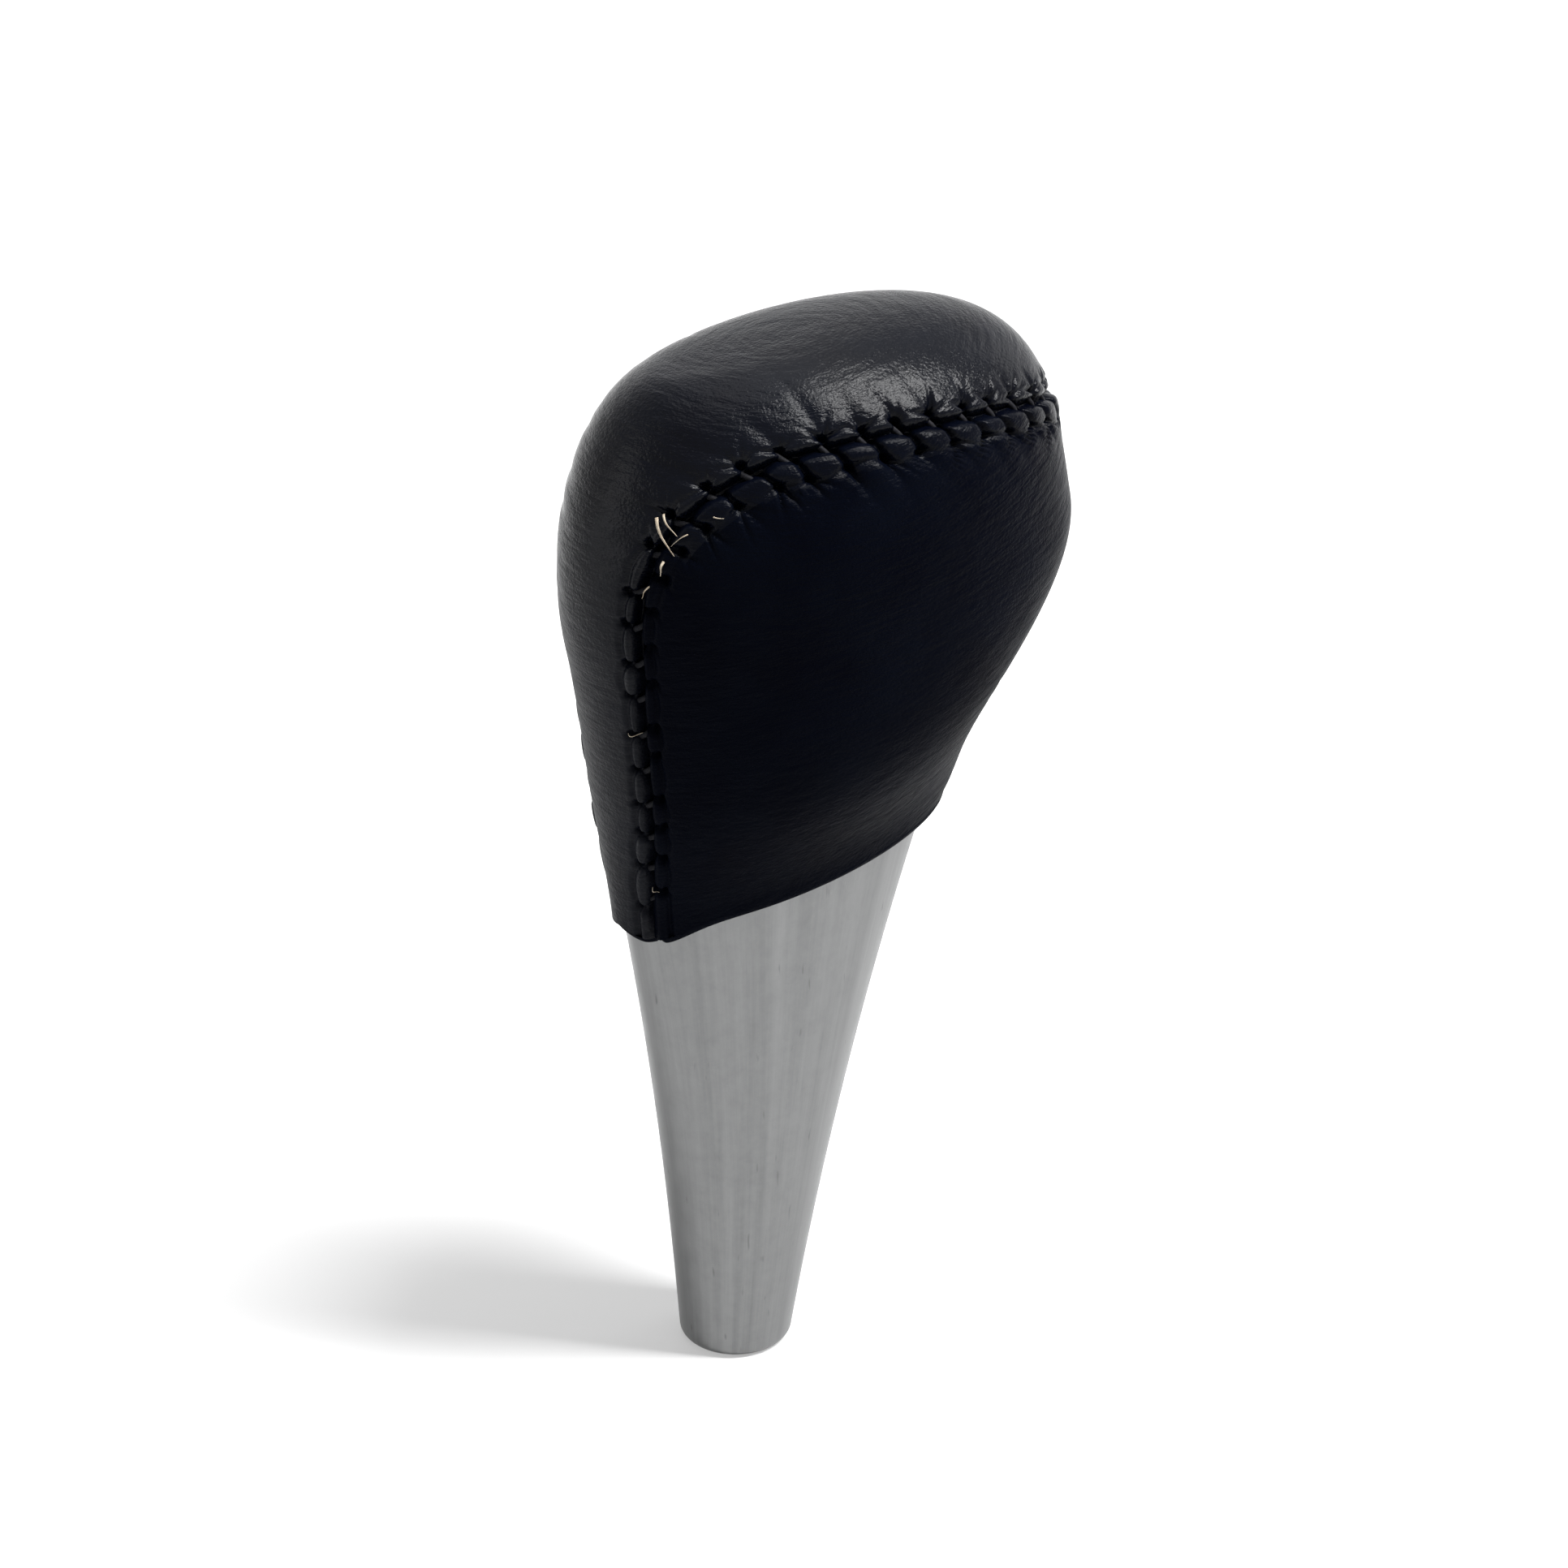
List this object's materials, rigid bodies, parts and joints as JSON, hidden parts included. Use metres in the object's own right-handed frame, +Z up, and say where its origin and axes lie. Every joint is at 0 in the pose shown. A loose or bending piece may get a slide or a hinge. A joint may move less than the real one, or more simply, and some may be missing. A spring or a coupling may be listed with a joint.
{
  "type": "gear shift knob",
  "caption": "Gear shift knob with a black leather head laced along a gathered seam, on a flared brushed aluminium stem that screws onto the lever.",
  "frame": {"origin": "Middle of the stem's lower mouth, where the lever goes in.", "axes": "+Z runs up the lever's axis, +X points the way the head overhangs, taken as the rear of the car, and +Y to the right of someone facing forwards. The XZ plane is the plane of symmetry."},
  "size_m": [0.0596, 0.0404, 0.1229],
  "materials": {
    "brushed_aluminium": "satin, brushed along the stem",
    "black_leather": "fine grain, semi-matt",
    "black_thread": "waxed thread",
    "core_plastic": "moulded",
    "bush_brass": "turned"
  },
  "bodies": {
    "root": {"stem_sleeve": "brushed_aluminium", "leather_cap": "black_leather", "leather_wrap": "black_leather", "seam_thread": "black_thread", "head_core": "core_plastic", "threaded_bush": "bush_brass"}
  },
  "joints": []
}
